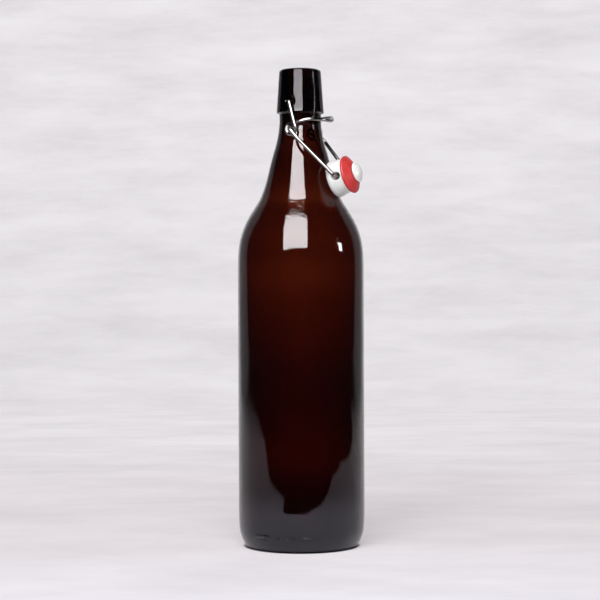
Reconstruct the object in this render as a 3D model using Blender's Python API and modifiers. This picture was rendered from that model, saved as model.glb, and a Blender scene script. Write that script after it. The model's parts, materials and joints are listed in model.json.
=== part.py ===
"""Swing top bottle: a one litre glass bottle with a lever-and-bail wire closure.

The bottle stands on its base with the origin on its axis, at the level of the surface it
stands on. The closure hangs open on the +X side, and its hinges run along Y.
Blender 4.5, metres, +Z up.
"""

import math

import bmesh
import bpy
from mathutils import Matrix, Vector

MM = 0.001

# Bottle: outside, as (radius, height) stations in millimetres down the glass
HEIGHT = 320.0 * MM
BODY_RADIUS = 42.4 * MM
BODY_TOP = 178.0 * MM
BODY_FOOT = 24.0 * MM
FINISH_BOTTOM = 290.6 * MM
FINISH_TOP_RADIUS = 14.15 * MM
FINISH_BOTTOM_RADIUS = 15.95 * MM
FINISH_TAPER = 3.0
FINISH_EDGE = 0.5 * MM
FINISH_EDGE_END = -80.0
RIM_OUTER_ROUND = 2.2 * MM
RIM_INNER_ROUND = 1.4 * MM
NECK_AND_SHOULDER = [
    (14.00, 288.2), (14.10, 283.6), (15.00, 276.1), (16.50, 269.4), (18.50, 262.6),
    (20.55, 255.0), (22.65, 246.5), (24.80, 239.3), (27.75, 232.4), (31.90, 225.7),
    (35.95, 218.9), (38.95, 212.1), (40.95, 205.3), (42.00, 197.5), (42.32, 189.0),
]
HEEL = [(42.20, 16.5), (41.60, 10.0), (40.50, 6.3), (39.05, 2.9), (37.95, 0.9), (36.80, 0.0)]

# Bottle: base and inside
PUNT_RADIUS = 33.2 * MM
PUNT_HEIGHT = 5.2 * MM
WALL = 3.5 * MM
MOUTH_RADIUS = 9.0 * MM
INSIDE_NECK = [
    (9.10, 300.0), (9.70, 288.0), (11.20, 276.0), (13.90, 263.5), (17.80, 251.0),
    (21.20, 240.0), (26.50, 228.5), (32.60, 217.0), (36.60, 206.0), (38.50, 194.0),
]
INSIDE_HEEL = [(37.70, 15.5), (33.40, 9.8)]
FLOOR_RADIUS = 26.0 * MM
FLOOR_HEIGHT = 8.6 * MM
FLOOR_RISE = 3.8 * MM

# Pin dimples, opposite each other in the finish on the Y axis
PIN_HEIGHT = 298.1 * MM
DIMPLE_MOUTH = 6.7 * MM
DIMPLE_FLOOR = 3.6 * MM
DIMPLE_DEPTH = 2.7 * MM
CUT_OVERSHOOT = 1.5 * MM

# Lever wire, hinged on its pins
WIRE = 2.3 * MM
PIN_END = 13.3 * MM
LEG_TOP_SIDE = 17.65 * MM
LEG_LOW_SIDE = 19.75 * MM
HANDLE_SIDE = 17.20 * MM
EYE_X = 2.3 * MM
EYE_Z = 279.0 * MM
EYE_RADIUS = 3.95 * MM
EYE_START = 18.0
EYE_TURN = 288.0
EYE_STEPS = 18
LEG_TANGENT = 3.3 * MM
HANDLE_CENTRE_X = 4.8 * MM
HANDLE_RISE = 3.4 * MM
HANDLE_TWIST = 1.3 * MM
HANDLE_STEPS = 24
WIRE_BEND = 2.0 * MM

# Bail wire, hinged in the lever's eyes and carrying the stopper
BAIL_LENGTH = 43.0 * MM
BAIL_ANGLE = 47.5
BAIL_END_SIDE = 15.3 * MM
BAIL_EYE_SIDE = 22.4 * MM
BAIL_PARALLEL = 9.0 * MM
BAIL_STOPPER_SIDE = 14.3 * MM

# Stopper, turned about its own axis with the wire hole at the origin and its top up
STOPPER_ANGLE = 15.25
STOPPER_TOP = 7.3 * MM
STOPPER_TOP_RADIUS = 12.6 * MM
STOPPER_TOP_ROUND = 2.2 * MM
STOPPER_LOW = -3.6 * MM
STOPPER_LOW_RADIUS = 11.2 * MM
STOPPER_LOW_ROUND = 0.6 * MM
STOPPER_SIDE_TAPER = -6.0
STEM_RADIUS = 5.5 * MM
KNOB_TOP = -9.8 * MM
KNOB_RADIUS = 6.9 * MM
KNOB_ROUND = 1.0 * MM
KNOB_ROUND_END = -20.0
KNOB_DOME_RADIUS = 5.9 * MM
KNOB_DOME_RISE = 1.3 * MM
KNOB_TIP = -13.6 * MM
WIRE_HOLE = 4.8 * MM

# Gasket, between the stopper's lower face and its knob
GAP = 0.3 * MM
GASKET_RADIUS = 12.8 * MM
GASKET_RIM = 2.5 * MM
GASKET_HUB_RADIUS = 7.1 * MM
GASKET_HOLE_RADIUS = 5.85 * MM
GASKET_ROUND = 0.7 * MM
GASKET_ROUND_END = -60.0

BOTTLE_STEPS = 48
TURNED_STEPS = 40
WIRE_RESOLUTION = 2
MERGE = 0.00001


def clear_scene():
    for thing in list(bpy.data.objects):
        bpy.data.objects.remove(thing, do_unlink=True)


def new_collection(name):
    collection = bpy.data.collections.new(name)
    bpy.context.scene.collection.children.link(collection)
    return collection


def principled(name, colour, roughness, metallic=0.0, transmission=0.0):
    material = bpy.data.materials.new(name)
    material.use_nodes = True
    shader = material.node_tree.nodes["Principled BSDF"]
    shader.inputs["Base Color"].default_value = (*colour, 1.0)
    shader.inputs["Roughness"].default_value = roughness
    shader.inputs["Metallic"].default_value = metallic
    shader.inputs["Transmission Weight"].default_value = transmission
    return material


def arc(centre, radius, start, end, steps):
    """Points of an arc in the profile plane, from angle start to end in degrees."""
    turns = [math.radians(start + (end - start) * i / steps) for i in range(steps + 1)]
    return [(centre[0] + radius * math.cos(t), centre[1] + radius * math.sin(t)) for t in turns]


def stations(pairs):
    return [(radius * MM, height * MM) for radius, height in pairs]


def profile_object(name, points, steps, collection, closed=False):
    """A turned solid: an edge profile in the XZ plane with a Screw modifier about Z."""
    mesh = bpy.data.meshes.new(name)
    last = len(points) if closed else len(points) - 1
    edges = [(i, (i + 1) % len(points)) for i in range(last)]
    mesh.from_pydata([(x, 0.0, z) for x, z in points], edges, [])
    turned = bpy.data.objects.new(name, mesh)
    collection.objects.link(turned)
    screw = turned.modifiers.new("Turn", "SCREW")
    screw.axis = "Z"
    screw.steps = steps
    screw.render_steps = steps
    screw.use_merge_vertices = True
    screw.merge_threshold = MERGE
    screw.use_smooth_shade = True
    return turned


def add_cut(target, cutter):
    cut = target.modifiers.new("Cut", "BOOLEAN")
    cut.operation = "DIFFERENCE"
    cut.solver = "EXACT"
    cut.object = cutter


def hide_cutter(cutter):
    cutter.hide_render = True
    cutter.display_type = "WIRE"


def cone_along_y(name, radius_near, radius_far, length, centre, outward, collection):
    """A cone frustum on a Y axis; radius_far is at its outer end, outward is +1 or -1."""
    mesh = bpy.data.meshes.new(name)
    shape = bmesh.new()
    bmesh.ops.create_cone(
        shape, cap_ends=True, segments=28, radius1=radius_near, radius2=radius_far, depth=length,
    )
    shape.to_mesh(mesh)
    shape.free()
    cone = bpy.data.objects.new(name, mesh)
    cone.rotation_euler = (math.radians(-90.0 * outward), 0.0, 0.0)
    cone.location = centre
    collection.objects.link(cone)
    hide_cutter(cone)
    return cone


def finish_radius(height):
    """Outer radius of the finish, the thick glass collar at the mouth."""
    share = (height - FINISH_BOTTOM) / (HEIGHT - FINISH_BOTTOM)
    return FINISH_BOTTOM_RADIUS + share * (FINISH_TOP_RADIUS - FINISH_BOTTOM_RADIUS)


def dome(rim_radius, rim_height, rise, steps):
    """Points of a shallow spherical cap from its centre on the axis out to its rim."""
    sphere = (rim_radius ** 2 + rise ** 2) / (2 * abs(rise))
    points = []
    for i in range(steps + 1):
        x = rim_radius * i / steps
        drop = sphere - math.sqrt(sphere ** 2 - x ** 2)
        points.append((x, rim_height + rise - math.copysign(drop, rise)))
    return points


def bottle_outline():
    """The glass wall's section, from the floor's centre up inside, over and down outside."""
    floor = dome(FLOOR_RADIUS, FLOOR_HEIGHT, FLOOR_RISE, 2)
    bore = BODY_RADIUS - WALL
    inside = floor + stations(INSIDE_HEEL)[::-1] + [(bore, BODY_FOOT), (bore, BODY_TOP)]
    inside += stations(INSIDE_NECK)[::-1]
    inner_x = MOUTH_RADIUS + RIM_INNER_ROUND
    inside += arc((inner_x, HEIGHT - RIM_INNER_ROUND), RIM_INNER_ROUND, 180.0, 90.0, 3)
    outer_x = FINISH_TOP_RADIUS - RIM_OUTER_ROUND
    rim = arc((outer_x, HEIGHT - RIM_OUTER_ROUND), RIM_OUTER_ROUND, 90.0, FINISH_TAPER, 4)
    edge_x = FINISH_BOTTOM_RADIUS - FINISH_EDGE
    edge_z = FINISH_BOTTOM + FINISH_EDGE
    edge = arc((edge_x, edge_z), FINISH_EDGE, FINISH_TAPER, FINISH_EDGE_END, 3)
    body = [(BODY_RADIUS, BODY_TOP), (BODY_RADIUS, BODY_FOOT)]
    outside = rim + edge + stations(NECK_AND_SHOULDER) + body + stations(HEEL)
    return inside + outside + dome(PUNT_RADIUS, 0.0, PUNT_HEIGHT, 4)[::-1]


def make_bottle(parts, cutters):
    bottle = profile_object("bottle", bottle_outline(), BOTTLE_STEPS, parts)
    surface = finish_radius(PIN_HEIGHT)
    slope = (DIMPLE_MOUTH - DIMPLE_FLOOR) / 2 / DIMPLE_DEPTH
    length = DIMPLE_DEPTH + CUT_OVERSHOOT
    outer_radius = DIMPLE_MOUTH / 2 + slope * CUT_OVERSHOOT
    for side, sign in (("near", -1), ("far", 1)):
        centre = (0.0, sign * (surface - DIMPLE_DEPTH + length / 2), PIN_HEIGHT)
        dimple = cone_along_y(
            f"dimple_{side}", DIMPLE_FLOOR / 2, outer_radius, length, centre, sign, cutters,
        )
        add_cut(bottle, dimple)
    bottle.data.materials.append(principled("amber_glass", (0.16, 0.035, 0.008), 0.04, 0.0, 0.6))
    return bottle


def rounded_path(corners, bend, steps=4):
    """The corners' path with each inner corner replaced by an arc of the bend radius."""
    path = [corners[0]]
    for before, corner, after in zip(corners, corners[1:], corners[2:]):
        back = (before - corner).normalized()
        ahead = (after - corner).normalized()
        half = back.angle(ahead) / 2
        run = bend / math.tan(half)
        middle = corner + (back + ahead).normalized() * bend / math.sin(half)
        start = corner + back * run - middle
        end = corner + ahead * run - middle
        sweep = start.angle(end)
        normal = start.cross(end).normalized()
        for i in range(steps + 1):
            path.append(middle + Matrix.Rotation(sweep * i / steps, 3, normal) @ start)
    path.append(corners[-1])
    return path


def mirrored(path):
    return [Vector((point.x, -point.y, point.z)) for point in path]


def wire_object(name, points, collection):
    """A round wire along the points, as a bevelled curve with filled ends."""
    curve = bpy.data.curves.new(name, "CURVE")
    curve.dimensions = "3D"
    curve.bevel_depth = WIRE / 2
    curve.bevel_resolution = WIRE_RESOLUTION
    curve.use_fill_caps = True
    spline = curve.splines.new("POLY")
    spline.points.add(len(points) - 1)
    for target, point in zip(spline.points, points):
        target.co = (*point, 1.0)
    wire = bpy.data.objects.new(name, curve)
    collection.objects.link(wire)
    return wire


def lever_side():
    """One side of the lever wire, from its pin's end to the handle, on the -Y side."""
    eye = []
    for i in range(EYE_STEPS + 1):
        share = i / EYE_STEPS
        angle = math.radians(EYE_START - EYE_TURN * share)
        side = LEG_LOW_SIDE + (HANDLE_SIDE - LEG_LOW_SIDE) * share
        x = EYE_X + EYE_RADIUS * math.cos(angle)
        z = EYE_Z + EYE_RADIUS * math.sin(angle)
        eye.append(Vector((x, -side, z)))
    start = math.radians(EYE_START)
    upward = Vector((-math.sin(start), 0.0, math.cos(start)))
    corners = [
        Vector((0.0, -PIN_END, PIN_HEIGHT)),
        Vector((0.0, -LEG_TOP_SIDE, PIN_HEIGHT)),
        eye[0] + upward * LEG_TANGENT,
    ]
    return rounded_path(corners, WIRE_BEND) + eye


def lever_handle():
    """The finger loop round the neck, from the near eye's top to the far one's."""
    points = []
    for i in range(1, HANDLE_STEPS):
        share = i / HANDLE_STEPS
        turn = math.radians(-90.0 + 180.0 * share)
        rise = HANDLE_RISE * math.sin(math.pi * share)
        twist = HANDLE_TWIST * math.sin(2 * math.pi * (share - 0.5))
        x = HANDLE_CENTRE_X + HANDLE_SIDE * math.cos(turn)
        y = HANDLE_SIDE * math.sin(turn)
        points.append(Vector((x, y, EYE_Z + EYE_RADIUS + rise + twist)))
    return points


def make_lever(parts):
    side = lever_side()
    path = side + lever_handle() + mirrored(side)[::-1]
    hinge = Vector((0.0, 0.0, PIN_HEIGHT))
    lever = wire_object("lever_wire", [point - hinge for point in path], parts)
    lever.location = hinge
    lever.data.materials.append(principled("bright_wire", (0.62, 0.61, 0.60), 0.22, 1.0))
    return lever


def make_bail(parts):
    """The bail in its own frame: eyes at the origin, the stopper's wire at +X."""
    half = rounded_path(
        [
            Vector((0.0, -BAIL_END_SIDE, 0.0)),
            Vector((0.0, -BAIL_EYE_SIDE, 0.0)),
            Vector((BAIL_PARALLEL, -BAIL_EYE_SIDE, 0.0)),
            Vector((BAIL_LENGTH, -BAIL_STOPPER_SIDE, 0.0)),
            Vector((BAIL_LENGTH, 0.0, 0.0)),
        ],
        WIRE_BEND,
    )
    path = half[:-1] + mirrored(half)[:-1][::-1]
    bail = wire_object("bail_wire", path, parts)
    bail.location = (EYE_X, 0.0, EYE_Z)
    bail.rotation_euler = (0.0, math.radians(BAIL_ANGLE), 0.0)
    bail.data.materials.append(principled("bail_steel", (0.60, 0.59, 0.58), 0.25, 1.0))
    return bail


def stopper_place():
    """The wire hole's centre, and the turn that lays the stopper's top on the shoulder."""
    reach = math.radians(BAIL_ANGLE)
    x = EYE_X + BAIL_LENGTH * math.cos(reach)
    z = EYE_Z - BAIL_LENGTH * math.sin(reach)
    return (x, 0.0, z), (0.0, math.radians(-90.0 - STOPPER_ANGLE), 0.0)


def make_stopper(parts, cutters):
    top_x = STOPPER_TOP_RADIUS - STOPPER_TOP_ROUND
    top_z = STOPPER_TOP - STOPPER_TOP_ROUND
    low_x = STOPPER_LOW_RADIUS - STOPPER_LOW_ROUND
    low_z = STOPPER_LOW + STOPPER_LOW_ROUND
    outline = [(0.0, STOPPER_TOP)]
    outline += arc((top_x, top_z), STOPPER_TOP_ROUND, 90.0, STOPPER_SIDE_TAPER, 5)
    outline += arc((low_x, low_z), STOPPER_LOW_ROUND, STOPPER_SIDE_TAPER, -90.0, 2)
    outline += [(STEM_RADIUS, STOPPER_LOW), (STEM_RADIUS, KNOB_TOP)]
    knob_centre = (KNOB_RADIUS - KNOB_ROUND, KNOB_TOP - KNOB_ROUND)
    outline += arc(knob_centre, KNOB_ROUND, 90.0, KNOB_ROUND_END, 4)
    dome_rim = KNOB_TIP + KNOB_DOME_RISE
    outline += dome(KNOB_DOME_RADIUS, dome_rim, -KNOB_DOME_RISE, 3)[::-1]
    stopper = profile_object("stopper", outline, TURNED_STEPS, parts)
    hole = cone_along_y(
        "wire_hole", WIRE_HOLE / 2, WIRE_HOLE / 2, 3 * STOPPER_TOP_RADIUS, (0, 0, 0), 1, cutters,
    )
    stopper.location, stopper.rotation_euler = stopper_place()
    hole.parent = stopper
    add_cut(stopper, hole)
    stopper.data.materials.append(principled("white_porcelain", (0.86, 0.86, 0.84), 0.12))
    return stopper


def make_gasket(parts):
    upper = STOPPER_LOW - GAP
    hub = KNOB_TOP + GAP
    rim_x = GASKET_RADIUS - GASKET_ROUND
    rim = arc((rim_x, upper - GASKET_ROUND), GASKET_ROUND, 90.0, 0.0, 3)
    lower_z = upper - GASKET_RIM + GASKET_ROUND
    lower_rim = arc((rim_x, lower_z), GASKET_ROUND, 0.0, GASKET_ROUND_END, 3)
    outline = [(GASKET_HOLE_RADIUS, upper)] + rim + lower_rim
    outline += [(GASKET_HUB_RADIUS, hub), (GASKET_HOLE_RADIUS, hub)]
    gasket = profile_object("gasket", outline, TURNED_STEPS, parts, closed=True)
    gasket.location, gasket.rotation_euler = stopper_place()
    gasket.data.materials.append(principled("red_rubber", (0.72, 0.045, 0.03), 0.5))
    return gasket


def main():
    clear_scene()
    parts = new_collection("swing_top_bottle")
    cutters = new_collection("cutters")
    make_bottle(parts, cutters)
    make_lever(parts)
    make_bail(parts)
    make_stopper(parts, cutters)
    make_gasket(parts)


main()
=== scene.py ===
import json
import math

import bmesh
import bpy
import numpy as np
from mathutils import Matrix, Vector, noise


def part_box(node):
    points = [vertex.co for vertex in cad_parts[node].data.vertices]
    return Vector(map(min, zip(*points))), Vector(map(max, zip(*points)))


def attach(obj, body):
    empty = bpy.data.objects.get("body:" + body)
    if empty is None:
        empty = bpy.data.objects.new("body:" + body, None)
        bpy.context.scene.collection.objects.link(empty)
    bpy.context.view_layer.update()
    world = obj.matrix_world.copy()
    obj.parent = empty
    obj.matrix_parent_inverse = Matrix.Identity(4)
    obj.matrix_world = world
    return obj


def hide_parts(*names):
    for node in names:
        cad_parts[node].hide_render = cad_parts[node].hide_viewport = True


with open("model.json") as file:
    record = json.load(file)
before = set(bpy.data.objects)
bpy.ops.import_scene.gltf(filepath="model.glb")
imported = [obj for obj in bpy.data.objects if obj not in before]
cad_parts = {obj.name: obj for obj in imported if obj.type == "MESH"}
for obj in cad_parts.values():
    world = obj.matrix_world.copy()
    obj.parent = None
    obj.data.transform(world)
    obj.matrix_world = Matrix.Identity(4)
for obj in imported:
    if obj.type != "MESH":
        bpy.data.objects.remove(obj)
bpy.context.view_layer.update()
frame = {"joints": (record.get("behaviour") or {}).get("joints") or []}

# Lengths are in metres and angles in degrees, unless a comment says otherwise
MM = 0.001

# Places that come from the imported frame
JOINTS = {joint["name"]: Vector(joint["pos_m"]) for joint in frame["joints"]}
PIN = JOINTS["lever_hinge"]
EYE = JOINTS["bail_hinge"]
HOLE = JOINTS["stopper_hinge"]
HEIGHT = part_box("bottle")[1].z
BAIL_LENGTH = (HOLE - EYE).length

# Bottle outline. The lists hold (radius, height) stations in millimetres
FINISH_BOTTOM = 290.6 * MM
FINISH_TOP_RADIUS = 14.15 * MM
FINISH_BOTTOM_RADIUS = 15.95 * MM
FINISH_TAPER = 3.0
FINISH_STEP = (14.25, 290.2)
EDGE_ROUND = 0.7 * MM
RIM_INNER_ROUND = 1.4 * MM
RIM_OUTER_ROUND = 2.2 * MM
RIM_CREST = 13 * MM
NECK_AND_SHOULDER = [
    (14.00, 288.2), (14.10, 283.6), (15.00, 276.1), (16.50, 269.4), (18.50, 262.6),
    (20.55, 255.0), (22.65, 246.5), (24.80, 239.3), (27.75, 232.4), (31.90, 225.7),
    (35.95, 218.9), (38.95, 212.1), (40.95, 205.3), (42.00, 197.5), (42.32, 189.0),
    (42.40, 178.0),
]
HEEL = [
    (42.40, 24.0), (42.20, 16.5), (41.60, 10.0), (40.50, 6.3), (39.05, 2.9), (37.95, 0.9),
    (36.80, 0.0),
]
INSIDE_NECK = [
    (9.00, 316.0), (9.10, 300.0), (9.70, 288.0), (11.90, 276.0), (15.10, 263.5),
    (18.50, 251.0), (21.90, 240.0), (27.20, 228.5), (33.90, 217.0), (38.10, 206.0),
    (39.50, 194.0), (39.85, 182.0), (39.55, 165.0), (39.15, 138.0), (38.60, 111.0),
    (38.65, 84.0), (38.90, 57.0), (38.20, 38.0),
]
INSIDE_HEEL = [(37.90, 28.0), (36.90, 16.5), (33.40, 10.2), (26.0, 8.6)]
PUNT_RADIUS = 33.2 * MM
PUNT_HEIGHT = 5.2 * MM
FLOOR_RISE = 3.8 * MM
DIMPLE_MOUTH = 6.7 * MM
DIMPLE_FLOOR = 3.6 * MM
DIMPLE_DEPTH = 2.7 * MM
DIMPLE_SOFT = 0.15 * MM

# Raised dots above the heel, at (degrees round the axis, height in millimetres)
HEEL_MARKS = [
    (-110.5, 11.2), (-106.6, 11.2), (-103.0, 11.3), (-99.5, 11.2), (-96.3, 11.2),
    (-110.0, 8.9), (-106.2, 8.8), (-102.6, 8.9), (-99.2, 8.8), (-86.0, 10.0),
    (-77.5, 9.6), (-74.0, 10.1), (-71.2, 9.7), (-62.0, 9.5), (-58.8, 10.2), (-56.0, 9.4),
]
MARK_RADIUS = 0.78 * MM
MARK_RISE = 0.45 * MM
MARKS_TOP = 12.6 * MM

# The radius less HEEL_SLOPE times the height is under PROUD_FROM on the plain heel
HEEL_SLOPE = 0.12
PROUD_FROM = 40.50 * MM
PROUD_TO = 40.60 * MM

# Glass surface
COLUMNS = 208
WAVE = 0.02 * MM
INNER_WAVE = 6.0
WAVE_LENGTH = 16 * MM
WAVE_STRETCH = 0.55
AMBER = (0.627, 0.333, 0.067, 1.0)
AMBER_DENSITY = 1500.0

# Closure
WIRE = 2.5 * MM
WIRE_SIDES = 20
WIRE_STEP = 0.45 * MM
WIRE_END = 0.5 * MM
DIE_LINES = 12.0
PIN_END = 13.3 * MM
LEG_TOP_SIDE = 17.65 * MM
LEG_LOW_SIDE = 19.75 * MM
HANDLE_SIDE = 17.20 * MM
EYE_RADIUS = 3.8 * MM
EYE_START = 18.0
EYE_TURN = 288.0
LEG_TANGENT = 3.3 * MM
HANDLE_CENTRE_X = 4.8 * MM
HANDLE_RISE = [  # (share of the way round, millimetres above the eyes)
    (0.0, 0.0), (0.09, 1.5), (0.20, 2.4), (0.33, 2.4), (0.47, 2.1), (0.64, 3.6), (0.80, 5.5),
    (0.91, 5.4), (0.97, 3.0), (1.0, 0.0),
]
WIRE_BEND = 2.0 * MM
BAIL_END_SIDE = 15.3 * MM
BAIL_EYE_SIDE = 22.4 * MM
BAIL_PARALLEL = 9.0 * MM
BAIL_STOPPER_SIDE = 14.3 * MM

# Stopper and gasket, about their own axis with the wire hole at the origin
STOPPER_ANGLE = 15.25
STOPPER_TOP = 7.3 * MM
STOPPER_TOP_RADIUS = 12.6 * MM
STOPPER_TAPER = 6.0
STOPPER_LOW = -3.6 * MM
STOPPER_LOW_RADIUS = 11.2 * MM
STEM_RADIUS = 5.5 * MM
KNOB_TOP = -9.8 * MM
KNOB_RADIUS = 6.9 * MM
KNOB_TIP = -13.6 * MM
WIRE_HOLE = 4.8 * MM
HOLE_FLARE = 0.55 * MM
GLAZE_VOXEL = 0.25 * MM
GAP = 0.3 * MM
GASKET_RADIUS = 12.8 * MM
GASKET_RIM = 2.5 * MM
GASKET_HUB_RADIUS = 7.1 * MM
GASKET_HOLE_RADIUS = 5.85 * MM
GASKET_SAG = 0.08 * MM

# Camera and studio
CAMERA_AZIMUTH = 25.5
CAMERA_DISTANCE = 1.158
CAMERA_HEIGHT = 0.176
CAMERA_LENS = 103.16
CAMERA_PITCH = 0.531
CAMERA_YAW = 0.03
CAMERA_ROLL = -0.22
BACKDROP = 1.7
BACKDROP_TOP = 2.4
SWEEP_CURVE = 0.5
SWEEP_STEPS = 12
# Painted contact shadow on the paper round the glass's foot, from and to these radii
CONTACT_SHADOW_FROM = 37.4 * MM
CONTACT_SHADOW_TO = 39.8 * MM
LAMP_AIM = Vector((0.0, 0.0, 0.2))

# The paper's front edge, as (place across, distance in front of the bottle) in metres
PAPER_FRONT = [
    (-3.40, -0.55), (-2.00, -0.30), (-1.50, -0.18), (-1.12, 0.16), (-0.76, 0.31), (-0.49, 0.27),
    (-0.40, 0.25), (-0.28, 0.28), (-0.17, 0.31), (-0.15, 0.25), (-0.13, 0.215), (-0.02, 0.235),
    (0.11, 0.25), (0.27, 0.25), (0.38, 0.28), (0.58, 0.16), (0.69, -0.11), (1.09, -0.38),
    (2.00, -0.45), (3.40, -0.60),
]


# ---------------------------------------------------------------- shapes


def smooth_through(points, per_span):
    """A centripetal Catmull-Rom curve through the points, with per_span steps a span."""
    pts = [np.array(p, float) for p in points]
    pts = [2 * pts[0] - pts[1]] + pts + [2 * pts[-1] - pts[-2]]
    out = []
    for p0, p1, p2, p3 in zip(pts, pts[1:], pts[2:], pts[3:]):
        t0 = 0.0
        t1 = t0 + np.linalg.norm(p1 - p0) ** 0.5
        t2 = t1 + np.linalg.norm(p2 - p1) ** 0.5
        t3 = t2 + np.linalg.norm(p3 - p2) ** 0.5
        for i in range(per_span):
            t = t1 + (t2 - t1) * i / per_span
            a1 = (t1 - t) / (t1 - t0) * p0 + (t - t0) / (t1 - t0) * p1
            a2 = (t2 - t) / (t2 - t1) * p1 + (t - t1) / (t2 - t1) * p2
            a3 = (t3 - t) / (t3 - t2) * p2 + (t - t2) / (t3 - t2) * p3
            b1 = (t2 - t) / (t2 - t0) * a1 + (t - t0) / (t2 - t0) * a2
            b2 = (t3 - t) / (t3 - t1) * a2 + (t - t1) / (t3 - t1) * a3
            out.append((t2 - t) / (t2 - t1) * b1 + (t - t1) / (t2 - t1) * b2)
    out.append(np.array(points[-1], float))
    return [tuple(p) for p in out]


def in_metres(pairs):
    return [(radius * MM, height * MM) for radius, height in pairs]


def arc(centre, radius, start, end, steps):
    turns = [math.radians(start + (end - start) * i / steps) for i in range(steps + 1)]
    return [(centre[0] + radius * math.cos(t), centre[1] + radius * math.sin(t)) for t in turns]


def line(start, end, steps):
    """Points after start and up to end."""
    a, b = np.array(start), np.array(end)
    return [tuple(a + (b - a) * i / steps) for i in range(1, steps + 1)]


def dome(rim_radius, rim_height, rise, steps):
    """A shallow spherical cap from its centre on the axis out to its rim."""
    sphere = (rim_radius ** 2 + rise ** 2) / (2 * abs(rise))
    points = []
    for i in range(steps + 1):
        x = rim_radius * i / steps
        drop = sphere - math.sqrt(sphere ** 2 - x ** 2)
        points.append((x, rim_height + rise - math.copysign(drop, rise)))
    return points


def new_object(name, mesh):
    made = bpy.data.objects.new(name, mesh)
    bpy.context.scene.collection.objects.link(made)
    mesh.shade_smooth()
    return made


def lathe(name, outline, columns, closed=False, shape=None):
    """A turned mesh. shape(x, y, z) arrays of rows by columns may be changed before it is built."""
    pts = np.array(outline)
    on_axis = pts[:, 0] < 1e-7
    angles = np.linspace(0, 2 * math.pi, columns, endpoint=False)
    x = pts[:, 0:1] * np.cos(angles)
    y = pts[:, 0:1] * np.sin(angles)
    z = np.repeat(pts[:, 1:2], columns, axis=1)
    if shape is not None:
        x, y, z = shape(x, y, z)
    verts, index = [], []
    for row in range(len(pts)):
        if on_axis[row]:
            index.append([len(verts)] * columns)
            verts.append((0.0, 0.0, float(z[row].mean())))
        else:
            index.append(list(range(len(verts), len(verts) + columns)))
            verts.extend(zip(x[row].tolist(), y[row].tolist(), z[row].tolist()))
    rows = range(len(pts)) if closed else range(len(pts) - 1)
    faces = []
    for row in rows:
        above, below = index[row], index[(row + 1) % len(pts)]
        for c in range(columns):
            d = (c + 1) % columns
            face = [above[c], below[c], below[d], above[d]]
            face = [v for i, v in enumerate(face) if v != face[i - 1]]
            faces.append(face)
    mesh = bpy.data.meshes.new(name)
    mesh.from_pydata(verts, [], faces)
    mesh.validate()
    return new_object(name, mesh)


def apply_modifiers(target):
    graph = bpy.context.evaluated_depsgraph_get()
    mesh = bpy.data.meshes.new_from_object(target.evaluated_get(graph))
    target.modifiers.clear()
    target.data = mesh
    mesh.shade_smooth()


def combine(target, other, operation):
    """Joins the other shape to the target, or cuts it away, and removes the other."""
    boolean = target.modifiers.new("Combine", "BOOLEAN")
    boolean.operation = operation
    boolean.solver = "EXACT"
    boolean.object = other
    apply_modifiers(target)
    bpy.data.objects.remove(other)


def rounded_path(corners, bend, steps=10):
    """The corners' path with each inner corner replaced by an arc of the bend radius."""
    path = [corners[0]]
    for before, corner, after in zip(corners, corners[1:], corners[2:]):
        back = (before - corner).normalized()
        ahead = (after - corner).normalized()
        half = back.angle(ahead) / 2
        run = bend / math.tan(half)
        middle = corner + (back + ahead).normalized() * bend / math.sin(half)
        start = corner + back * run - middle
        end = corner + ahead * run - middle
        normal = start.cross(end).normalized()
        sweep = start.angle(end)
        for i in range(steps + 1):
            path.append(middle + Matrix.Rotation(sweep * i / steps, 3, normal) @ start)
    path.append(corners[-1])
    return path


def evenly(path, spacing):
    """The path's points again at an even spacing, joined by a smooth curve."""
    pts = np.array([tuple(p) for p in path])
    fine = np.array(smooth_through(pts, 6))
    run = np.concatenate([[0], np.cumsum(np.linalg.norm(np.diff(fine, axis=0), axis=1))])
    wanted = np.linspace(0, run[-1], int(run[-1] / spacing) + 1)
    return [Vector([np.interp(w, run, fine[:, k]) for k in range(3)]) for w in wanted]


def wire_tube(name, path):
    """A round wire along the path with rounded ends. It stores the turn round it and the way
    along it for its material."""
    path = evenly(path, WIRE_STEP)
    tangents = []
    for i in range(len(path)):
        tangents.append((path[min(i + 1, len(path) - 1)] - path[max(i - 1, 0)]).normalized())
    rings = []
    for share in (0.25, 0.55, 0.8, 0.95):
        rings.append((path[0] - tangents[0] * WIRE_END * (1 - share), share, 0))
    rings += [(point, 1.0, i) for i, point in enumerate(path)]
    for share in (0.95, 0.8, 0.55, 0.25):
        rings.append((path[-1] + tangents[-1] * WIRE_END * (1 - share), share, len(path) - 1))
    across = tangents[0].orthogonal().normalized()
    verts, drawn, run, last = [], [], 0.0, rings[0][0]
    for centre, share, i in rings:
        across = (across - tangents[i] * across.dot(tangents[i])).normalized()
        other = tangents[i].cross(across)
        run += (centre - last).length
        last = centre
        size = WIRE / 2 * math.sqrt(1 - (1 - share) ** 2)
        for k in range(WIRE_SIDES):
            turn = 2 * math.pi * k / WIRE_SIDES
            verts.append(centre + (across * math.cos(turn) + other * math.sin(turn)) * size)
            drawn += [math.cos(turn), math.sin(turn), run * DIE_LINES]
    faces = []
    for r in range(len(rings) - 1):
        for k in range(WIRE_SIDES):
            n = (k + 1) % WIRE_SIDES
            a, b = r * WIRE_SIDES, (r + 1) * WIRE_SIDES
            faces.append((a + k, a + n, b + n, b + k))
    faces.append(tuple(range(WIRE_SIDES))[::-1])
    faces.append(tuple(range(len(verts) - WIRE_SIDES, len(verts))))
    mesh = bpy.data.meshes.new(name)
    mesh.from_pydata(verts, [], faces)
    attribute = mesh.attributes.new("drawn", "FLOAT_VECTOR", "POINT")
    attribute.data.foreach_set("vector", drawn)
    return new_object(name, mesh)


# ---------------------------------------------------------------- bottle


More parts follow.
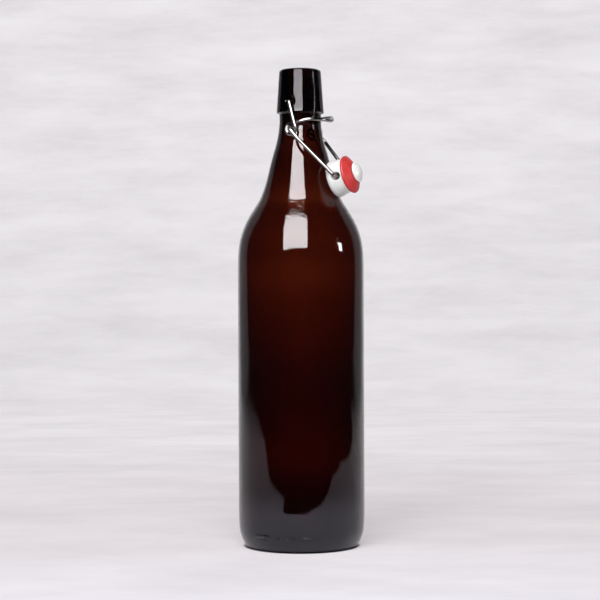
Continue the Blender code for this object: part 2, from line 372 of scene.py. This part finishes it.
def bottle_outline():
    """The glass wall's section, up the inside, over the rim, down the outside and to the punt's
    middle, and how many of its points are inside."""
    floor_rim = INSIDE_HEEL[-1]
    inside = dome(floor_rim[0] * MM, floor_rim[1] * MM, FLOOR_RISE, 14)
    inside += smooth_through(in_metres(INSIDE_HEEL[::-1]), 5)[1:]
    inside += smooth_through(in_metres((INSIDE_NECK + INSIDE_HEEL[:1])[::-1]), 6)[1:]
    inner = (INSIDE_NECK[0][0] * MM + RIM_INNER_ROUND, HEIGHT - RIM_INNER_ROUND)
    outer = (FINISH_TOP_RADIUS - RIM_OUTER_ROUND, HEIGHT - RIM_OUTER_ROUND)
    rim = arc(inner, RIM_INNER_ROUND, 180.0, 90.0, 8)
    rim += arc(outer, RIM_OUTER_ROUND, 90.0, FINISH_TAPER, 12)
    edge_centre = (FINISH_BOTTOM_RADIUS - EDGE_ROUND, FINISH_BOTTOM + EDGE_ROUND)
    edge = arc(edge_centre, EDGE_ROUND, FINISH_TAPER, -80.0, 8)
    step = smooth_through([edge[-1]] + in_metres([FINISH_STEP, NECK_AND_SHOULDER[0]]), 4)[1:]
    outside = line(rim[-1], edge[0], 84) + edge[1:] + step
    outside += smooth_through(in_metres(NECK_AND_SHOULDER), 6)[1:]
    body_top, body_foot = in_metres([NECK_AND_SHOULDER[-1], HEEL[0]])
    outside += line(body_top, body_foot, 52)
    outside += smooth_through(in_metres(HEEL), 6)[1:]
    outside += line(outside[-1], (PUNT_RADIUS, 0.0), 5)
    punt = dome(PUNT_RADIUS, 0.0, PUNT_HEIGHT, 18)[::-1]
    return inside + rim + outside + punt[1:], len(inside)


def dimple_depth(across, height):
    """How deep a pin dimple is, at a distance across and above its centre. Its side is part
    cone and part smooth step."""
    reach = np.hypot(across, height)
    mouth, floor = DIMPLE_MOUTH / 2 + DIMPLE_SOFT, DIMPLE_FLOOR / 2
    share = np.clip((mouth - reach) / (mouth - floor), 0.0, 1.0)
    return DIMPLE_DEPTH * share * (0.6 + 0.4 * share * (3 - 2 * share))


def shape_glass(inner_rows):
    """The waves that blowing and the mould leave in the glass, and the pin dimples."""

    def shape(x, y, z):
        radius = np.hypot(x, y)
        outward_x = np.divide(x, radius, out=np.zeros_like(x), where=radius > 0)
        outward_y = np.divide(y, radius, out=np.zeros_like(y), where=radius > 0)
        change = np.zeros_like(x)
        for row in range(x.shape[0]):
            inner = row < inner_rows
            size = WAVE * (INNER_WAVE if inner else 1.0)
            for col in range(x.shape[1]):
                place = Vector((x[row, col], y[row, col], z[row, col] * WAVE_STRETCH))
                place /= WAVE_LENGTH
                wave = noise.noise(place + Vector((31.0 if inner else 0.0, 7.0, 3.0)))
                change[row, col] = size * wave - (0.0 if inner else WAVE)
        outside = np.arange(x.shape[0])[:, None] >= inner_rows
        finish = outside & (z > FINISH_BOTTOM) & (radius > RIM_CREST)
        depth = dimple_depth(x, z - PIN.z) * finish
        y = y + change * outward_y - np.sign(y) * depth
        x = x + change * outward_x
        return x, y, z

    return shape


def heel_marks():
    """Small raised dots in groups above the heel, as moulds leave them."""
    marks = bmesh.new()
    heel_radii, heel_heights = zip(*HEEL[::-1])
    for degrees, height in HEEL_MARKS:
        turn = math.radians(degrees)
        out = Vector((math.cos(turn), math.sin(turn), 0.0))
        radius = float(np.interp(height, heel_heights, heel_radii)) * MM
        place = Matrix.Translation(out * radius + Vector((0.0, 0.0, height * MM)))
        flat = place @ out.to_track_quat("Z", "Y").to_matrix().to_4x4()
        flat = flat @ Matrix.Diagonal((MARK_RADIUS, MARK_RADIUS, MARK_RISE, 1.0))
        bmesh.ops.create_icosphere(marks, subdivisions=2, radius=1.0, matrix=flat)
    mesh = bpy.data.meshes.new("heel_marks")
    marks.to_mesh(mesh)
    marks.free()
    return new_object("heel_marks", mesh)


def make_bottle():
    outline, inner_rows = bottle_outline()
    bottle = lathe("bottle_glass", outline, COLUMNS, shape=shape_glass(inner_rows))
    combine(bottle, heel_marks(), "UNION")
    bottle.data.materials.append(amber_glass())
    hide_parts("bottle")
    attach(bottle, "bottle")


# ---------------------------------------------------------------- closure


def mirrored(path):
    return [Vector((point.x, -point.y, point.z)) for point in path]


def lever_side():
    """One side of the lever wire, from its pin's end to the handle, on the -Y side."""
    eye = []
    steps = 54
    for i in range(steps + 1):
        share = i / steps
        angle = math.radians(EYE_START - EYE_TURN * share)
        side = LEG_LOW_SIDE + (HANDLE_SIDE - LEG_LOW_SIDE) * share
        x = EYE.x + EYE_RADIUS * math.cos(angle)
        z = EYE.z + EYE_RADIUS * math.sin(angle)
        eye.append(Vector((x, -side, z)))
    start = math.radians(EYE_START)
    upward = Vector((-math.sin(start), 0.0, math.cos(start)))
    corners = [
        Vector((0.0, -PIN_END, PIN.z)),
        Vector((0.0, -LEG_TOP_SIDE, PIN.z)),
        eye[0] + upward * LEG_TANGENT,
    ]
    return rounded_path(corners, WIRE_BEND) + eye


def lever_handle():
    """The finger loop round the neck, from the near eye's top to the far one's."""
    points = []
    for share, rise in smooth_through(HANDLE_RISE, 8)[1:-1]:
        turn = math.radians(-90.0 + 180.0 * share)
        x = HANDLE_CENTRE_X + HANDLE_SIDE * math.cos(turn)
        y = HANDLE_SIDE * math.sin(turn)
        points.append(Vector((x, y, EYE.z + EYE_RADIUS + rise * MM)))
    return points


def make_lever():
    side = lever_side()
    lever = wire_tube("lever_wire_drawn", side + lever_handle() + mirrored(side)[::-1])
    lever.data.materials.append(drawn_steel("lever_steel", 0.0))
    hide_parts("lever_wire")
    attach(lever, "lever")


def make_bail():
    """The bail is bent in its own frame, eyes at the origin, then turned to reach the stopper."""
    half = rounded_path(
        [
            Vector((0.0, -BAIL_END_SIDE, 0.0)),
            Vector((0.0, -BAIL_EYE_SIDE, 0.0)),
            Vector((BAIL_PARALLEL, -BAIL_EYE_SIDE, 0.0)),
            Vector((BAIL_LENGTH, -BAIL_STOPPER_SIDE, 0.0)),
            Vector((BAIL_LENGTH, 0.0, 0.0)),
        ],
        WIRE_BEND,
    )
    path = half[:-1] + mirrored(half)[:-1][::-1]
    down = math.atan2(EYE.z - HOLE.z, HOLE.x - EYE.x)
    place = Matrix.Translation(EYE) @ Matrix.Rotation(down, 4, "Y")
    bail = wire_tube("bail_wire_drawn", [place @ point for point in path])
    bail.data.materials.append(drawn_steel("bail_steel", 4.0))
    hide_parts("bail_wire")
    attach(bail, "bail")


def stopper_place():
    """From the stopper's own frame to where it hangs on the bail's cross wire."""
    turn = math.radians(-90.0 - STOPPER_ANGLE)
    return Matrix.Translation(HOLE) @ Matrix.Rotation(turn, 4, "Y")


def stopper_outline():
    """The casting's section from the cap's top, by the stem, to the knob's tip."""
    top_round, low_round, knob_round = 2.4 * MM, 0.8 * MM, 1.0 * MM
    top_centre = (STOPPER_TOP_RADIUS - top_round, STOPPER_TOP - top_round)
    low_centre = (STOPPER_LOW_RADIUS - low_round, STOPPER_LOW + low_round)
    knob_centre = (KNOB_RADIUS - knob_round, KNOB_TOP - knob_round)
    centre = (0.0, STOPPER_TOP)
    outline = [centre] + line(centre, (top_centre[0], STOPPER_TOP), 8)[:-1]
    top = arc(top_centre, top_round, 90.0, -STOPPER_TAPER, 10)
    low = arc(low_centre, low_round, -STOPPER_TAPER, -90.0, 6)
    outline += top + line(top[-1], low[0], 14) + low[1:]
    outline += line(low[-1], (STEM_RADIUS, STOPPER_LOW), 5)
    outline += line(outline[-1], (STEM_RADIUS, KNOB_TOP), 8)
    outline += arc(knob_centre, knob_round, 90.0, 0.0, 6)
    crown = dome(KNOB_RADIUS, knob_centre[1], KNOB_TIP - knob_centre[1], 14)[::-1]
    return outline + crown[1:]


def wire_hole():
    """A cutter along Y for the wire's hole, straight inside and flared at both ends."""
    bore = WIRE_HOLE / 2
    end = STOPPER_TOP_RADIUS + 1.0 * MM
    half = [
        (bore, 0.0), (bore, 9.6 * MM), (bore + HOLE_FLARE * 0.35, 10.8 * MM),
        (bore + HOLE_FLARE, 11.6 * MM), (bore + 3 * HOLE_FLARE, end), (0.0, end),
    ]
    cutter = lathe("wire_hole", half[::-1] + [(x, -z) for x, z in half[1:]], 64)
    cutter.data.transform(Matrix.Rotation(math.pi / 2, 4, "X"))
    return cutter


def make_stopper():
    """The porcelain casting, with the glaze's soft edges by a fine remesh."""
    stopper = lathe("stopper_porcelain", stopper_outline(), 128)
    combine(stopper, wire_hole(), "DIFFERENCE")
    remesh = stopper.modifiers.new("Glaze", "REMESH")
    remesh.mode = "VOXEL"
    remesh.voxel_size = GLAZE_VOXEL
    soften = stopper.modifiers.new("Soften", "SMOOTH")
    soften.factor = 0.5
    soften.iterations = 6
    apply_modifiers(stopper)
    stopper.data.transform(stopper_place())
    stopper.data.materials.append(porcelain())
    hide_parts("stopper")
    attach(stopper, "stopper")


def make_gasket():
    """The rubber washer: a rounded rim, a cone down to the hub, and a slight sag all round."""
    upper, hub = STOPPER_LOW - GAP, KNOB_TOP + GAP
    rim_round = GASKET_RIM / 2 - 0.1 * MM
    rim_x = GASKET_RADIUS - rim_round
    outline = line((GASKET_HOLE_RADIUS, upper), (rim_x, upper), 14)
    outline += arc((rim_x, upper - rim_round), rim_round, 90.0, -50.0, 14)[1:]
    hub_edge = (GASKET_HUB_RADIUS, hub + 0.3 * MM)
    outline += line(outline[-1], hub_edge, 14)
    outline += [(GASKET_HUB_RADIUS - 0.3 * MM, hub), (GASKET_HOLE_RADIUS, hub)]
    outline += line(outline[-1], (GASKET_HOLE_RADIUS, upper), 8)

    def shape(x, y, z):
        angle = np.arctan2(y, x)
        radius = np.hypot(x, y) / GASKET_RADIUS
        wave = np.sin(3 * angle + 0.7) * 0.5 + np.sin(5 * angle) * 0.5
        return x, y, z + GASKET_SAG * (wave - 1) * radius ** 2

    gasket = lathe("gasket_rubber", outline, 144, closed=True, shape=shape)
    gasket.data.transform(stopper_place())
    gasket.data.materials.append(red_rubber())
    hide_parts("gasket")
    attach(gasket, "stopper")


# ---------------------------------------------------------------- materials


class Nodes:
    """A small helper that makes a material's nodes and links them."""

    def __init__(self, name):
        self.material = bpy.data.materials.new(name)
        self.material.use_nodes = True
        self.tree = self.material.node_tree
        self.shader = self.tree.nodes["Principled BSDF"]
        self.output = self.tree.nodes["Material Output"]

    def add(self, kind, **settings):
        node = self.tree.nodes.new(kind)
        for key, value in settings.items():
            setattr(node, key, value)
        return node

    def link(self, source, target):
        self.tree.links.new(source, target)

    def value(self, socket, value):
        self.shader.inputs[socket].default_value = value

    def noise(self, scale, detail=4.0, roughness=0.5, vector=None):
        node = self.add("ShaderNodeTexNoise")
        node.inputs["Scale"].default_value = scale
        node.inputs["Detail"].default_value = detail
        node.inputs["Roughness"].default_value = roughness
        if vector is not None:
            self.link(vector, node.inputs["Vector"])
        return node.outputs["Fac"]

    def position(self, scale=(1.0, 1.0, 1.0)):
        """The rest position of each point, stretched, so that a pattern stays on its piece."""
        source = self.add("ShaderNodeTexCoord")
        mapping = self.add("ShaderNodeMapping")
        mapping.inputs["Scale"].default_value = scale
        self.link(source.outputs["Object"], mapping.inputs["Vector"])
        return mapping.outputs["Vector"]

    def spread(self, source, low, high, start=0.3, stop=0.7):
        """The source's values from start to stop, spread over low to high."""
        node = self.add("ShaderNodeMapRange")
        node.inputs["From Min"].default_value = start
        node.inputs["From Max"].default_value = stop
        node.inputs["To Min"].default_value = low
        node.inputs["To Max"].default_value = high
        self.link(source, node.inputs["Value"])
        return node.outputs["Result"]

    def ramp(self, source, stops):
        node = self.add("ShaderNodeValToRGB")
        elements = node.color_ramp.elements
        while len(elements) < len(stops):
            elements.new(0.5)
        for element, (place, colour) in zip(elements, stops):
            element.position = place
            element.color = (*colour, 1.0)
        self.link(source, node.inputs["Fac"])
        return node.outputs["Color"]

    def greys(self, source, stops):
        return self.ramp(source, [(place, (grey, grey, grey)) for place, grey in stops])

    def math(self, operation, first, second, third=None):
        """A maths node. Each term is a socket or a number."""
        node = self.add("ShaderNodeMath", operation=operation)
        for term, socket in zip((first, second, third), node.inputs):
            if isinstance(term, (int, float)):
                socket.default_value = term
            elif term is not None:
                self.link(term, socket)
        return node.outputs["Value"]

    def scaled(self, vector, amount):
        node = self.add("ShaderNodeVectorMath", operation="SCALE")
        self.link(vector, node.inputs[0])
        self.link(amount, node.inputs["Scale"])
        return node.outputs["Vector"]

    def bump(self, height, distance, strength=1.0, normal=None):
        node = self.add("ShaderNodeBump")
        node.inputs["Distance"].default_value = distance
        if isinstance(strength, float):
            node.inputs["Strength"].default_value = strength
        else:
            self.link(strength, node.inputs["Strength"])
        self.link(height, node.inputs["Height"])
        if normal is not None:
            self.link(normal, node.inputs["Normal"])
        return node.outputs["Normal"]


def amber_glass():
    """Dark amber glass: clear at the surface, coloured by the depth that light crosses."""
    nodes = Nodes("amber_glass")
    nodes.value("Base Color", (1.0, 1.0, 1.0, 1.0))
    nodes.value("Transmission Weight", 1.0)
    nodes.value("IOR", 1.52)
    place = nodes.position((1.0, 1.0, 0.6))
    haze = nodes.noise(90.0, 3.0, 0.55, place)
    nodes.link(nodes.spread(haze, 0.0, 0.008), nodes.shader.inputs["Roughness"])
    where = nodes.add("ShaderNodeSeparateXYZ")
    nodes.link(nodes.position(), where.inputs["Vector"])
    height = where.outputs["Z"]
    level = nodes.spread(height, 0.0, 1.0, 0.0, HEIGHT)
    # Painted reflection: how strongly the glass reflects is set by height,
    # stronger and bluish at the base, weaker low on the body and weakest on the finish
    gloss = [
        (0.0, (1.20, 1.16, 1.34)), (0.08, (1.12, 1.08, 1.24)), (0.12, (0.56, 0.54, 0.58)),
        (0.30, (0.66, 0.64, 0.66)), (0.38, (1.0, 0.98, 1.0)),
        (0.908, (1.0, 0.98, 1.0)), (0.917, (0.45, 0.43, 0.45)),
    ]
    # Painted shade: the dots above the heel reflect little, so they show dark.
    # They stand proud of the heel's slope there
    flat = nodes.add("ShaderNodeVectorMath", operation="MULTIPLY")
    flat.inputs[1].default_value = (1.0, 1.0, 0.0)
    nodes.link(nodes.position(), flat.inputs[0])
    across = nodes.add("ShaderNodeVectorMath", operation="LENGTH")
    nodes.link(flat.outputs["Vector"], across.inputs[0])
    proud = nodes.math("MULTIPLY_ADD", height, -HEEL_SLOPE, across.outputs["Value"])
    painted_dark_dots = nodes.spread(proud, 0.0, 0.92, PROUD_FROM, PROUD_TO)
    painted_dark_dots = nodes.math("MULTIPLY", painted_dark_dots, nodes.math("LESS_THAN", height, MARKS_TOP))
    painted_reflection = nodes.scaled(nodes.ramp(level, gloss), nodes.math("SUBTRACT", 1.0, painted_dark_dots))
    nodes.link(painted_reflection, nodes.shader.inputs["Specular Tint"])
    ripple = nodes.noise(150.0, 3.0, 0.5, nodes.position((1.0, 1.0, 0.3)))
    peel = nodes.noise(330.0, 2.0, 0.55, nodes.position((0.5, 0.5, 1.6)))
    waved = nodes.greys(level, [(0.0, 0.9), (0.55, 0.9), (0.70, 0.6), (0.88, 0.35), (0.915, 0.1)])
    flecked = nodes.greys(
        level, [(0.0, 0.05), (0.62, 0.12), (0.70, 1.0), (0.745, 1.0), (0.79, 0.15), (0.9, 0.05)]
    )
    normal = nodes.bump(ripple, 0.06 * MM, waved)
    normal = nodes.bump(peel, 0.18 * MM, flecked, normal)
    nodes.link(normal, nodes.shader.inputs["Normal"])
    absorb = nodes.add("ShaderNodeVolumeAbsorption")
    absorb.inputs["Color"].default_value = AMBER
    absorb.inputs["Density"].default_value = AMBER_DENSITY
    nodes.link(absorb.outputs["Volume"], nodes.output.inputs["Volume"])
    return nodes.material


def drawn_steel(name, offset):
    """Bright drawn wire: die lines along it, cloudy tarnish, and an uneven gloss."""
    nodes = Nodes(name)
    nodes.value("Metallic", 1.0)
    drawn = nodes.add("ShaderNodeAttribute", attribute_name="drawn")
    lines = nodes.noise(3.2, 4.0, 0.65, drawn.outputs["Vector"])
    shift = nodes.add("ShaderNodeVectorMath", operation="ADD")
    shift.inputs[1].default_value = (offset, 0.0, 0.0)
    nodes.link(nodes.position(), shift.inputs[0])
    stain = nodes.noise(190.0, 4.0, 0.6, shift.outputs["Vector"])
    colour = nodes.ramp(stain, [(0.32, (0.24, 0.23, 0.226)), (0.62, (0.41, 0.40, 0.395))])
    nodes.link(colour, nodes.shader.inputs["Base Color"])
    nodes.link(nodes.spread(stain, 0.11, 0.22), nodes.shader.inputs["Roughness"])
    nodes.link(nodes.bump(lines, 0.012 * MM, 0.5), nodes.shader.inputs["Normal"])
    return nodes.material


def porcelain():
    """White glazed porcelain: a warm body under a clear glossy glaze, with faint specks."""
    nodes = Nodes("porcelain")
    place = nodes.position()
    cloud = nodes.noise(220.0, 3.0, 0.5, place)
    colour = nodes.ramp(cloud, [(0.3, (0.76, 0.765, 0.75)), (0.7, (0.83, 0.835, 0.82))])
    nodes.link(colour, nodes.shader.inputs["Base Color"])
    nodes.link(nodes.spread(cloud, 0.07, 0.16), nodes.shader.inputs["Roughness"])
    nodes.value("Subsurface Weight", 0.25)
    nodes.value("Subsurface Radius", (1.0, 0.9, 0.8))
    nodes.value("Subsurface Scale", 0.0012)
    nodes.value("IOR", 1.5)
    dimpled = nodes.noise(500.0, 2.0, 0.4, place)
    nodes.link(nodes.bump(dimpled, 0.02 * MM, 0.4), nodes.shader.inputs["Normal"])
    return nodes.material


def red_rubber():
    """Red gasket rubber: satin, with a dusty bloom and small moulding marks."""
    nodes = Nodes("red_rubber")
    place = nodes.position()
    bloom = nodes.noise(260.0, 5.0, 0.6, place)
    colour = nodes.ramp(bloom, [(0.3, (0.50, 0.019, 0.018)), (0.72, (0.61, 0.038, 0.036))])
    nodes.link(colour, nodes.shader.inputs["Base Color"])
    nodes.link(nodes.spread(bloom, 0.38, 0.58), nodes.shader.inputs["Roughness"])
    nodes.value("Subsurface Weight", 0.15)
    nodes.value("Subsurface Radius", (1.0, 0.25, 0.15))
    nodes.value("Subsurface Scale", 0.001)
    pores = nodes.noise(1500.0, 3.0, 0.6, place)
    nodes.link(nodes.bump(pores, 0.03 * MM, 0.5), nodes.shader.inputs["Normal"])
    return nodes.material


def paper():
    """Pale mottled paper with painted light: it shines a little of its own, as under a broad
    overhead light.
    """
    nodes = Nodes("paper")
    where = nodes.add("ShaderNodeSeparateXYZ")
    nodes.link(nodes.position(), where.inputs["Vector"])
    ahead = where.outputs["Y"]
    aside = nodes.math("ABSOLUTE", where.outputs["X"], 0.0)
    mottle = nodes.noise(9.0, 7.0, 0.66, nodes.position((0.55, 1.0, 2.6)))
    colour = nodes.ramp(mottle, [(0.28, (0.350, 0.338, 0.350)), (0.72, (0.425, 0.413, 0.426))])
    # Painted light: a faint pink just behind the bottle, for light coloured by the amber glass;
    # cooler at the front
    tint = nodes.ramp(
        nodes.spread(ahead, 0.0, 1.0, -0.25, 1.0),
        [
            (0.0, (0.99, 0.99, 1.03)), (0.12, (1.0, 0.985, 1.0)), (0.25, (1.02, 0.985, 0.99)),
            (1.0, (1.0, 1.0, 1.0)),
        ],
    )
    tinted = nodes.add("ShaderNodeVectorMath", operation="MULTIPLY")
    nodes.link(colour, tinted.inputs[0])
    nodes.link(tint, tinted.inputs[1])
    # Painted shade: darker far out at the sides, but less so towards the back corners
    sides = nodes.spread(aside, 1.0, 0.05, 0.8, 1.5)
    corners = nodes.spread(nodes.math("MULTIPLY_ADD", aside, -0.27, ahead), 0.0, 0.45, 0.0, 0.45)
    shade = nodes.math("MAXIMUM", sides, corners)
    # The fall-off is for reflections only, so the paper itself looks plain from all sides
    path = nodes.add("ShaderNodeLightPath")
    shade = nodes.math("MAXIMUM", shade, path.outputs["Is Camera Ray"])
    reach = nodes.add("ShaderNodeVectorMath", operation="LENGTH")
    nodes.link(nodes.position(), reach.inputs[0])
    # Painted contact shadow: dark where the glass stands on it
    contact_shadow = nodes.spread(reach.outputs["Value"], 0.02, 1.0, CONTACT_SHADOW_FROM, CONTACT_SHADOW_TO)
    shade = nodes.math("MULTIPLY", shade, contact_shadow)
    shaded = nodes.scaled(tinted.outputs["Vector"], shade)
    nodes.link(shaded, nodes.shader.inputs["Base Color"])
    nodes.link(shaded, nodes.shader.inputs["Emission Color"])
    # Painted light: the paper glows by itself, a little more at the front and most towards the back
    near = nodes.spread(ahead, 1.22, 1.08, -0.20, 0.0)
    far = nodes.spread(ahead, 0.0, 0.41, 0.05, 0.8)
    nodes.link(nodes.math("ADD", near, far), nodes.shader.inputs["Emission Strength"])
    nodes.value("Roughness", 0.9)
    nodes.value("Specular IOR Level", 0.1)
    return nodes.material


# ---------------------------------------------------------------- studio


def toward(azimuth, elevation=0.0):
    """A direction from the bottle. Azimuth 0 is the camera's side, and positive is to its right."""
    turn = math.radians(CAMERA_AZIMUTH + azimuth)
    rise = math.radians(elevation)
    flat = math.cos(rise)
    return Vector((math.sin(turn) * flat, -math.cos(turn) * flat, math.sin(rise)))


def make_camera():
    data = bpy.data.cameras.new("camera")
    data.sensor_width = 36.0
    data.lens = CAMERA_LENS
    camera = bpy.data.objects.new("camera", data)
    bpy.context.scene.collection.objects.link(camera)
    turn = Matrix.Rotation(math.radians(CAMERA_AZIMUTH + CAMERA_YAW), 4, "Z")
    tilt = Matrix.Rotation(math.radians(90.0 - CAMERA_PITCH), 4, "X")
    roll = Matrix.Rotation(math.radians(CAMERA_ROLL), 4, "Z")
    place = toward(0.0) * CAMERA_DISTANCE + Vector((0.0, 0.0, CAMERA_HEIGHT))
    camera.matrix_world = Matrix.Translation(place) @ turn @ tilt @ roll
    bpy.context.scene.camera = camera


def make_sweep():
    """The pale paper: a table with an uneven front edge in front of the bottle, rising behind."""
    rows = [(depth, 0.0) for depth in (0.25, 0.5, 0.8, BACKDROP - SWEEP_CURVE)]
    for i in range(1, SWEEP_STEPS + 1):
        turn = math.radians(90.0 * i / SWEEP_STEPS)
        depth = BACKDROP - SWEEP_CURVE * (1 - math.sin(turn))
        rows.append((depth, SWEEP_CURVE * (1 - math.cos(turn))))
    rows.append((BACKDROP, BACKDROP_TOP))
    columns = len(PAPER_FRONT)
    verts = [(offset, -front, 0.0) for offset, front in PAPER_FRONT]
    for depth, height in rows:
        verts.extend((offset, depth, height) for offset, _ in PAPER_FRONT)
    faces = []
    for row in range(len(rows)):
        for c in range(columns - 1):
            a, b = row * columns + c, (row + 1) * columns + c
            faces.append((a, a + 1, b + 1, b))
    mesh = bpy.data.meshes.new("sweep")
    mesh.from_pydata(verts, [], faces)
    sweep = new_object("sweep", mesh)
    sweep.rotation_euler.z = math.radians(CAMERA_AZIMUTH)
    sweep.data.materials.append(paper())


def area_light(name, place, size, power, dip=1.0, roll=0.0):
    """A rectangular lamp turned to the bottle's shoulder. A dip under 1 tips it down less."""
    data = bpy.data.lights.new(name, "AREA")
    data.shape = "RECTANGLE"
    data.size, data.size_y = size
    data.energy = power
    light = bpy.data.objects.new(name, data)
    bpy.context.scene.collection.objects.link(light)
    light.location = place
    facing = LAMP_AIM - place
    facing.z *= dip
    aimed = facing.to_track_quat("-Z", "Y").to_matrix()
    turned = Matrix.Rotation(math.radians(roll), 3, facing) @ aimed
    light.visible_camera = False
    light.rotation_mode = "QUATERNION"
    light.rotation_quaternion = turned.to_quaternion()
    return light


def make_world():
    """Pale surroundings to look at and through, and a dim room to reflect and be lit by."""
    world = bpy.data.worlds.new("studio")
    bpy.context.scene.world = world
    world.use_nodes = True
    tree = world.node_tree
    pale = tree.nodes["Background"]
    pale.inputs["Color"].default_value = (0.80, 0.78, 0.80, 1.0)
    dim = tree.nodes.new("ShaderNodeBackground")
    dim.inputs["Color"].default_value = (0.028, 0.027, 0.028, 1.0)
    path = tree.nodes.new("ShaderNodeLightPath")
    mix = tree.nodes.new("ShaderNodeMixShader")
    seen = tree.nodes.new("ShaderNodeMath")
    seen.operation = "MAXIMUM"
    tree.links.new(path.outputs["Is Camera Ray"], seen.inputs[0])
    tree.links.new(path.outputs["Is Transmission Ray"], seen.inputs[1])
    tree.links.new(seen.outputs["Value"], mix.inputs["Fac"])
    tree.links.new(dim.outputs["Background"], mix.inputs[1])
    tree.links.new(pale.outputs["Background"], mix.inputs[2])
    tree.links.new(mix.outputs["Shader"], tree.nodes["World Output"].inputs["Surface"])


def make_studio():
    make_world()
    make_sweep()
    key = area_light("key", LAMP_AIM + toward(-12.0, 38.0) * 1.35, (1.00, 1.20), 25.0)
    key.visible_glossy = False
    panel_place = LAMP_AIM + toward(-11.5, 40.0) * 1.25
    softbox = area_light("softbox", panel_place, (0.92, 1.19), 50.0, dip=0.48, roll=-2.5)
    softbox.visible_diffuse = False
    area_light("side_lamp", LAMP_AIM + toward(77.5, 10.9) * 1.3, (0.14, 0.13), 1.9)
    area_light("glint", LAMP_AIM + toward(75.5, 17.0) * 1.3, (0.03, 0.14), 0.45)
    fill = area_light("fill", LAMP_AIM + toward(15.0, -12.0) * 1.4, (0.9, 0.9), 5.0)
    fill.visible_glossy = False
    settings = bpy.context.scene.view_settings
    settings.view_transform = "Standard"
    settings.look = "None"


# ---------------------------------------------------------------- build

make_camera()
make_studio()
make_bottle()
make_lever()
make_bail()
make_stopper()
make_gasket()
